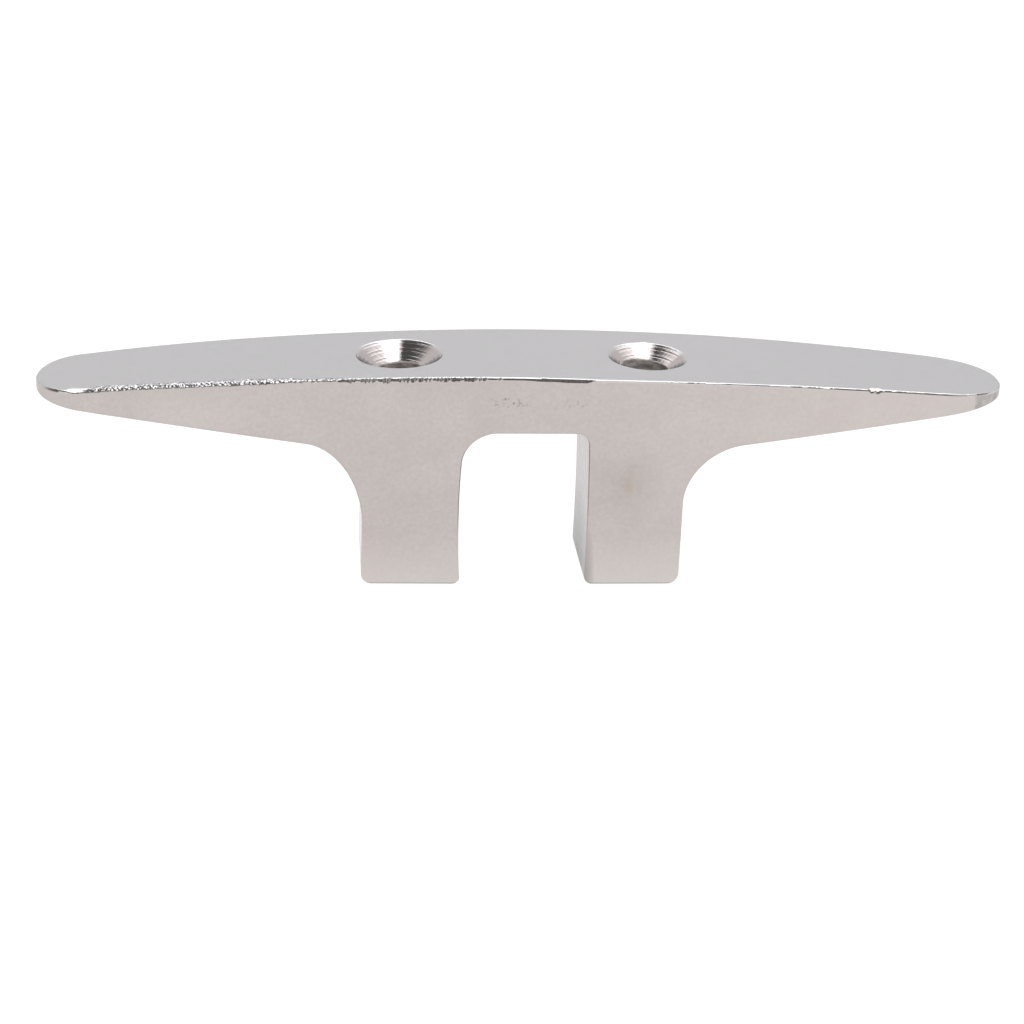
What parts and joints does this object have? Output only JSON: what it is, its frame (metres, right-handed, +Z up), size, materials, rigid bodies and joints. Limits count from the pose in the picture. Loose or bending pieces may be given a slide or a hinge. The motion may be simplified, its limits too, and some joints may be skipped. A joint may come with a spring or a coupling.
{
  "type": "horn cleat",
  "caption": "Cast stainless steel boat cleat: long tapered horns on a pair of legs with a slot between, drilled and countersunk from the top.",
  "frame": {"origin": "middle of the length, on the plane that the feet stand on", "axes": "+X along the horns, +Y from the flat side with the crisp top edge to the side with the rounded top edge, +Z up, away from the deck"},
  "size_m": [0.15, 0.0237, 0.0356],
  "materials": {
    "polished_stainless": "polished casting, satin"
  },
  "bodies": {
    "root": {"cleat_body": "polished_stainless"}
  },
  "joints": []
}
